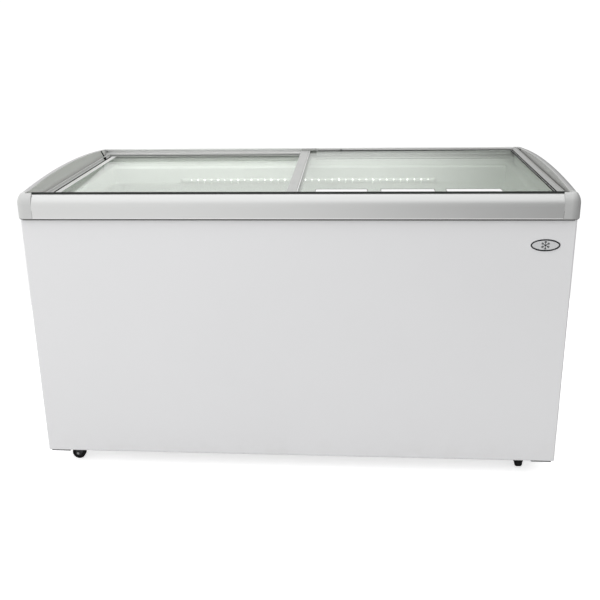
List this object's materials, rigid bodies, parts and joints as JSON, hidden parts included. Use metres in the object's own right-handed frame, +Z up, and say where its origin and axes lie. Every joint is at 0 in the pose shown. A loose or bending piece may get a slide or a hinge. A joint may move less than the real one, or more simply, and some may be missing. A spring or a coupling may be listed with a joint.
{
  "type": "chest freezer",
  "caption": "Commercial chest freezer: white sheet cabinet on castors, raised rear rim with arched side rails, flat glass lids sliding past each other on two levels.",
  "frame": {"origin": "on the floor under the middle of the cabinet", "axes": "+X along the length to the customer's right, +Y to the back, +Z up; the customer stands on the -Y side"},
  "size_m": [1.5, 0.74, 0.868],
  "materials": {
    "white_sheet": "satin",
    "zinc_sheet": "satin",
    "white_liner": "satin",
    "foam": "matte",
    "copper": "satin",
    "silver_rail": "satin",
    "grey_plastic": "satin",
    "black_seal": "matte",
    "led_clear": "gloss",
    "badge_face": "gloss",
    "black_steel": "satin",
    "black_plastic": "matte",
    "condenser_fins": "satin",
    "motor_metal": "satin",
    "lid_glass": "polished",
    "lid_frame": "satin",
    "drain_plastic": "matte",
    "wheel_rubber": "matte"
  },
  "bodies": {
    "cabinet": {"outer_wrap": "white_sheet", "back_panel": "white_sheet", "base_pan": "zinc_sheet", "bulkhead_panel": "zinc_sheet", "inner_liner": "white_liner", "insulation_foam": "foam", "evaporator_coil": "copper", "front_rail": "silver_rail", "rear_rail": "silver_rail", "side_rail_left": "grey_plastic", "side_rail_right": "grey_plastic", "corner_cap_front_left": "grey_plastic", "corner_cap_front_right": "grey_plastic", "corner_cap_rear_left": "grey_plastic", "corner_cap_rear_right": "grey_plastic", "front_seal": "black_seal", "rear_seal": "grey_plastic", "top_collar": "white_liner", "led_light_bar": "led_clear", "badge_plate": "badge_face", "compressor": "black_steel", "compressor_grommets": "black_seal", "start_relay_box": "black_plastic", "condenser": "condenser_fins", "fan_motor": "motor_metal", "fan_bracket": "zinc_sheet", "filter_drier": "copper", "discharge_pipe": "copper", "suction_pipe": "copper", "rear_cover": "black_plastic", "thermostat_body": "black_plastic", "mains_inlet_gland": "black_plastic", "drain_tube": "drain_plastic", "drain_plug": "drain_plastic", "castor_plates": "zinc_sheet", "castor_bolts": "zinc_sheet", "cover_screws": "motor_metal"},
    "lid_left": {"lid_left_glass": "lid_glass", "lid_left_front_runner": "lid_frame", "lid_left_rear_runner": "lid_frame", "lid_left_end_grip": "lid_frame", "lid_left_centre_stile": "lid_frame"},
    "lid_right": {"lid_right_glass": "lid_glass", "lid_right_front_runner": "lid_frame", "lid_right_rear_runner": "lid_frame", "lid_right_end_grip": "lid_frame", "lid_right_centre_stile": "lid_frame", "lid_right_wiper_seal": "black_seal", "lid_right_rear_block": "lid_frame"},
    "fan_blade": {"fan_blade": "black_plastic"},
    "thermostat_knob": {"thermostat_knob": "black_plastic"},
    "castor_fork_fl": {"castor_fork_fl": "black_steel"},
    "castor_wheel_fl": {"castor_wheel_fl": "wheel_rubber"},
    "castor_fork_fr": {"castor_fork_fr": "black_steel"},
    "castor_wheel_fr": {"castor_wheel_fr": "wheel_rubber"},
    "castor_fork_rl": {"castor_fork_rl": "black_steel"},
    "castor_wheel_rl": {"castor_wheel_rl": "wheel_rubber"},
    "castor_fork_rr": {"castor_fork_rr": "black_steel"},
    "castor_wheel_rr": {"castor_wheel_rr": "wheel_rubber"}
  },
  "joints": [
    {"name": "lid_left_slide", "type": "slide", "parent": "cabinet", "child": "lid_left", "axis": [1, 0, 0], "range_m": [0, 0.68]},
    {"name": "lid_right_slide", "type": "slide", "parent": "cabinet", "child": "lid_right", "axis": [1, 0, 0], "range_m": [-0.68, 0]},
    {"name": "fan_spin", "type": "hinge", "parent": "cabinet", "child": "fan_blade", "pos_m": [0.585, 0.195, 0.178], "axis": [0, 1, 0], "continuous": true},
    {"name": "thermostat_turn", "type": "hinge", "parent": "cabinet", "child": "thermostat_knob", "pos_m": [0.5, 0.35, 0.275], "axis": [0, 1, 0], "range_deg": [-150, 150]},
    {"name": "castor_fl_swivel", "type": "hinge", "parent": "cabinet", "child": "castor_fork_fl", "pos_m": [-0.655, -0.31, 0.043], "axis": [0, 0, 1], "continuous": true},
    {"name": "castor_fl_roll", "type": "hinge", "parent": "castor_fork_fl", "child": "castor_wheel_fl", "pos_m": [-0.668, -0.31, 0.0195], "axis": [0, 1, 0], "continuous": true},
    {"name": "castor_fr_swivel", "type": "hinge", "parent": "cabinet", "child": "castor_fork_fr", "pos_m": [0.655, -0.31, 0.043], "axis": [0, 0, 1], "continuous": true},
    {"name": "castor_fr_roll", "type": "hinge", "parent": "castor_fork_fr", "child": "castor_wheel_fr", "pos_m": [0.655, -0.297, 0.0195], "axis": [1, 0, 0], "continuous": true},
    {"name": "castor_rl_swivel", "type": "hinge", "parent": "cabinet", "child": "castor_fork_rl", "pos_m": [-0.655, 0.31, 0.043], "axis": [0, 0, 1], "continuous": true},
    {"name": "castor_rl_roll", "type": "hinge", "parent": "castor_fork_rl", "child": "castor_wheel_rl", "pos_m": [-0.668, 0.31, 0.0195], "axis": [0, 1, 0], "continuous": true},
    {"name": "castor_rr_swivel", "type": "hinge", "parent": "cabinet", "child": "castor_fork_rr", "pos_m": [0.655, 0.31, 0.043], "axis": [0, 0, 1], "continuous": true},
    {"name": "castor_rr_roll", "type": "hinge", "parent": "castor_fork_rr", "child": "castor_wheel_rr", "pos_m": [0.655, 0.323, 0.0195], "axis": [1, 0, 0], "continuous": true}
  ]
}
